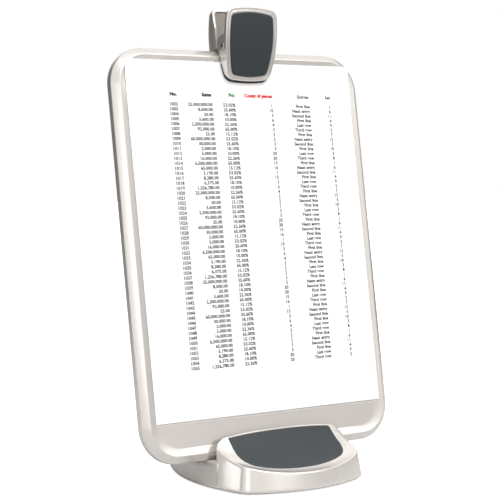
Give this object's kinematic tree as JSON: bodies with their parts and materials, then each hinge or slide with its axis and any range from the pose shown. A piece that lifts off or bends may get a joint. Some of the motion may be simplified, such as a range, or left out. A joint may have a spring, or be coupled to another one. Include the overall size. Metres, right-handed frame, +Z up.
{
  "type": "desktop copy holder",
  "caption": "Desktop copy holder: a leaning rounded board for one sheet stands in a slot of a weighted base, and a sprung clip on its top rim holds the paper.",
  "frame": {"origin": "on the desk under the middle of the base, bottom centre of the whole part's box", "axes": "+X across the board, to the reader's right; -Y towards the reader; +Z up"},
  "size_m": [0.2374, 0.1595, 0.3733],
  "materials": {
    "silver_plastic": "satin warm light grey moulding, faintly pearly",
    "pad_plastic": "dark slate grey, satin, slightly soft",
    "dark_rubber": "matt near-black rubber",
    "paper": null,
    "steel": "plain bright steel",
    "dark_steel": "dark zinc-plated steel"
  },
  "bodies": {
    "base": {"base_shell": "silver_plastic", "base_pad": "pad_plastic", "base_slot_liner": "dark_rubber", "base_bottom_plate": "silver_plastic", "base_plate_screws": "dark_steel", "base_ballast_plate": "dark_steel", "base_ballast_screws": "dark_steel", "base_feet": "dark_rubber"},
    "board": {"board_front_shell": "silver_plastic", "board_back_cover": "silver_plastic", "board_cover_screws": "dark_steel", "document_sheet": "paper"},
    "clip_rear": {"clip_rear_lever": "silver_plastic", "clip_rear_grip": "dark_rubber", "clip_pivot_pin": "steel", "clip_pin_cap": "steel", "clip_torsion_spring": "steel"},
    "clip_front": {"clip_front_lever": "silver_plastic", "clip_front_pad": "pad_plastic", "clip_front_grip": "dark_rubber"}
  },
  "joints": [
    {"name": "board_lift", "type": "slide", "parent": "base", "child": "board", "axis": [0, 0.165, 0.9863], "range_m": [0, 0.05]},
    {"name": "clip_slide", "type": "slide", "parent": "board", "child": "clip_rear", "axis": [1, 0, 0], "range_m": [-0.06, 0.055]},
    {"name": "clip_grip", "type": "hinge", "parent": "clip_rear", "child": "clip_front", "pos_m": [0.0036, 0.01884, 0.34146], "axis": [-1, 0, 0], "range_deg": [0, 9.5], "stiffness_Nm_per_rad": 0.1, "springref_deg": -17.19, "deforming": ["clip_torsion_spring"]}
  ]
}
